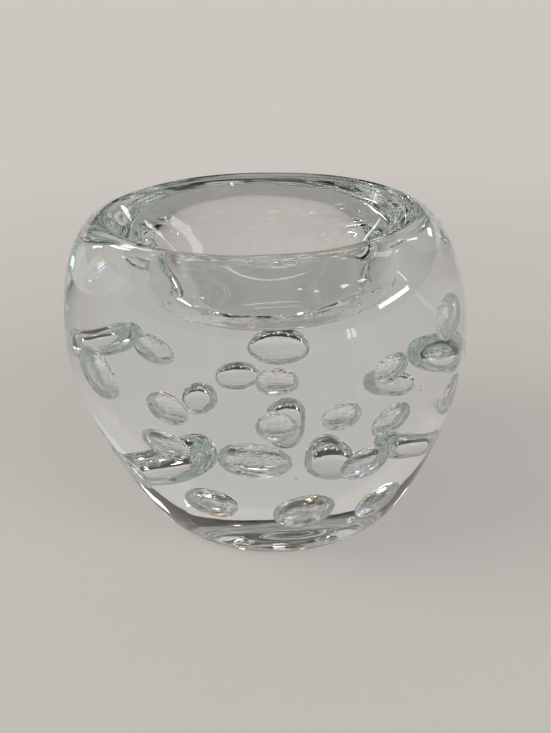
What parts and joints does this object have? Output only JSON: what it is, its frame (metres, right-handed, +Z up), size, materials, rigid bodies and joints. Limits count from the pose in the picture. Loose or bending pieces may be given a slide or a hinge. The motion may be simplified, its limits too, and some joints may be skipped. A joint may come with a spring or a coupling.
{
  "type": "tealight holder",
  "caption": "Rounded hand-blown clear glass tealight holder with trapped air bubbles, a thick rounded lip and a bowl-shaped well.",
  "frame": {"origin": "on the surface that the holder stands on, below the middle of its outline seen from above", "axes": "+Z up, -Y towards the viewer of the reference view, +X to that viewer's right"},
  "size_m": [0.095, 0.095, 0.0734],
  "materials": {
    "clear_glass": "fire-polished clear soda-lime glass with a faint green-grey tint",
    "trapped_air": "smooth inner wall of an air bubble"
  },
  "bodies": {
    "root": {"outer_gather": "clear_glass", "inner_gather": "clear_glass", "air_bubble_01": "trapped_air", "air_bubble_02": "trapped_air", "air_bubble_03": "trapped_air", "air_bubble_04": "trapped_air", "air_bubble_05": "trapped_air", "air_bubble_06": "trapped_air", "air_bubble_07": "trapped_air", "air_bubble_08": "trapped_air", "air_bubble_09": "trapped_air", "air_bubble_10": "trapped_air", "air_bubble_11": "trapped_air", "air_bubble_12": "trapped_air", "air_bubble_13": "trapped_air", "air_bubble_14": "trapped_air", "air_bubble_15": "trapped_air", "air_bubble_16": "trapped_air", "air_bubble_17": "trapped_air", "air_bubble_18": "trapped_air", "air_bubble_19": "trapped_air", "air_bubble_20": "trapped_air", "air_bubble_21": "trapped_air", "air_bubble_22": "trapped_air", "air_bubble_23": "trapped_air", "air_bubble_24": "trapped_air", "air_bubble_25": "trapped_air", "air_bubble_26": "trapped_air", "air_bubble_27": "trapped_air", "air_bubble_28": "trapped_air", "air_bubble_29": "trapped_air", "air_bubble_30": "trapped_air", "air_bubble_31": "trapped_air", "air_bubble_32": "trapped_air", "air_bubble_33": "trapped_air", "air_bubble_34": "trapped_air", "air_bubble_35": "trapped_air", "air_bubble_36": "trapped_air", "air_bubble_37": "trapped_air", "air_bubble_38": "trapped_air", "air_bubble_39": "trapped_air"}
  },
  "joints": []
}
